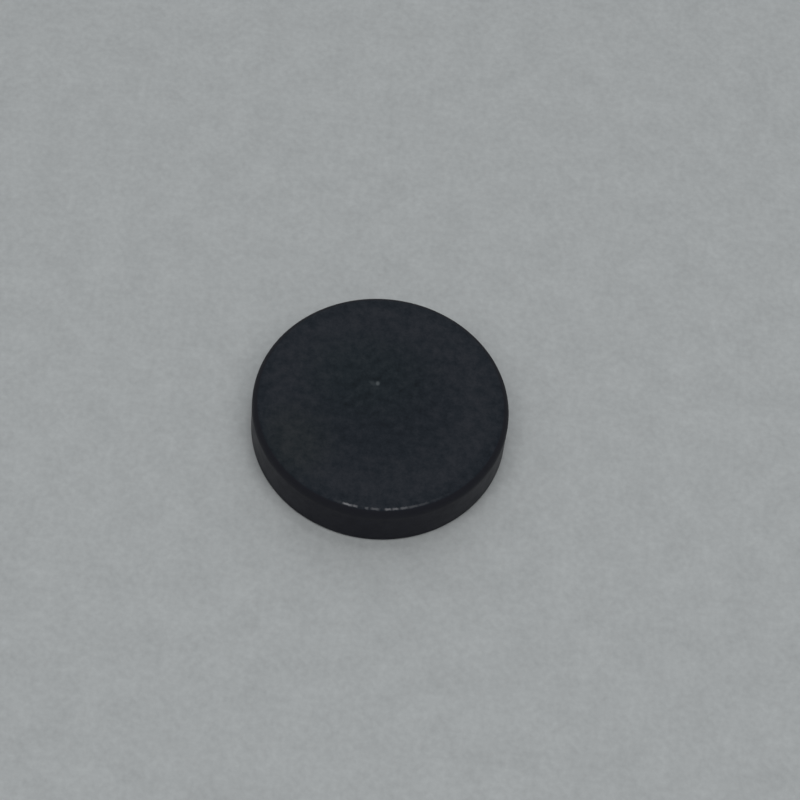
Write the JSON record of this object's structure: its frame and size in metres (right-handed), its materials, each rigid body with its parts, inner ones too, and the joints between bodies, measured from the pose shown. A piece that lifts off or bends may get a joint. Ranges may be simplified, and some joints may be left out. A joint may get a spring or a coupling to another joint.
{
  "type": "dealer button",
  "caption": "Plain black round dealer button that marks a card table seat: a moulded cover snapped over a base plate, with a steel weight held between foam pads.",
  "frame": {"origin": "on the disc's axis, in the plane of the rim that it rests on", "axes": "+Z is the disc's axis, pointing up out of the top face; X and Y are free because the disc is round"},
  "size_m": [0.05, 0.05, 0.01],
  "materials": {
    "cover_plastic": "matte",
    "base_plastic": "matte",
    "slug_steel": "satin",
    "foam": "matte",
    "inlay_film": "satin"
  },
  "bodies": {
    "root": {"cover": "cover_plastic", "base_plate": "base_plastic", "weight_slug": "slug_steel", "upper_foam_pad": "foam", "lower_foam_pad": "foam", "underside_inlay": "inlay_film"}
  },
  "joints": []
}
